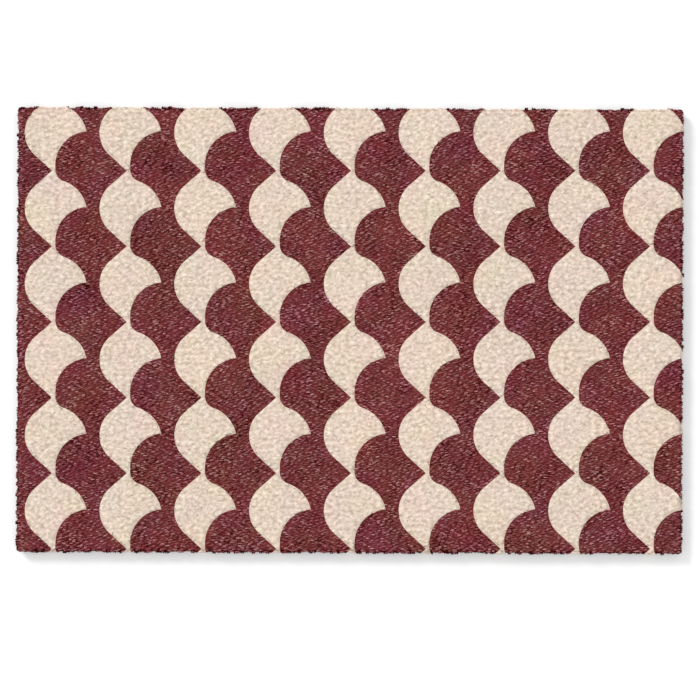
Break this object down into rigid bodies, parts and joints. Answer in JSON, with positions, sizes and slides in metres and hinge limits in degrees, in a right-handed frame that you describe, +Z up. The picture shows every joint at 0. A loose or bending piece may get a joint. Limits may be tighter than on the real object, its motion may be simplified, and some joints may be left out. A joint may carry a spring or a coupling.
{
  "type": "doormat",
  "caption": "Flat rectangular doormat with dense short pile, small round corners and a slightly ragged cut rim, in maroon with a cream geometric repeat.",
  "frame": {"origin": "on the floor, under the middle of the mat", "axes": "+X along the long sides, +Y towards the far long side as in the picture's top edge, +Z up out of the pile"},
  "size_m": [0.6, 0.4, 0.01],
  "materials": {
    "pile": "matt short pile yarn, maroon with a cream repeat"
  },
  "bodies": {
    "root": {"mat": "pile"}
  },
  "joints": []
}
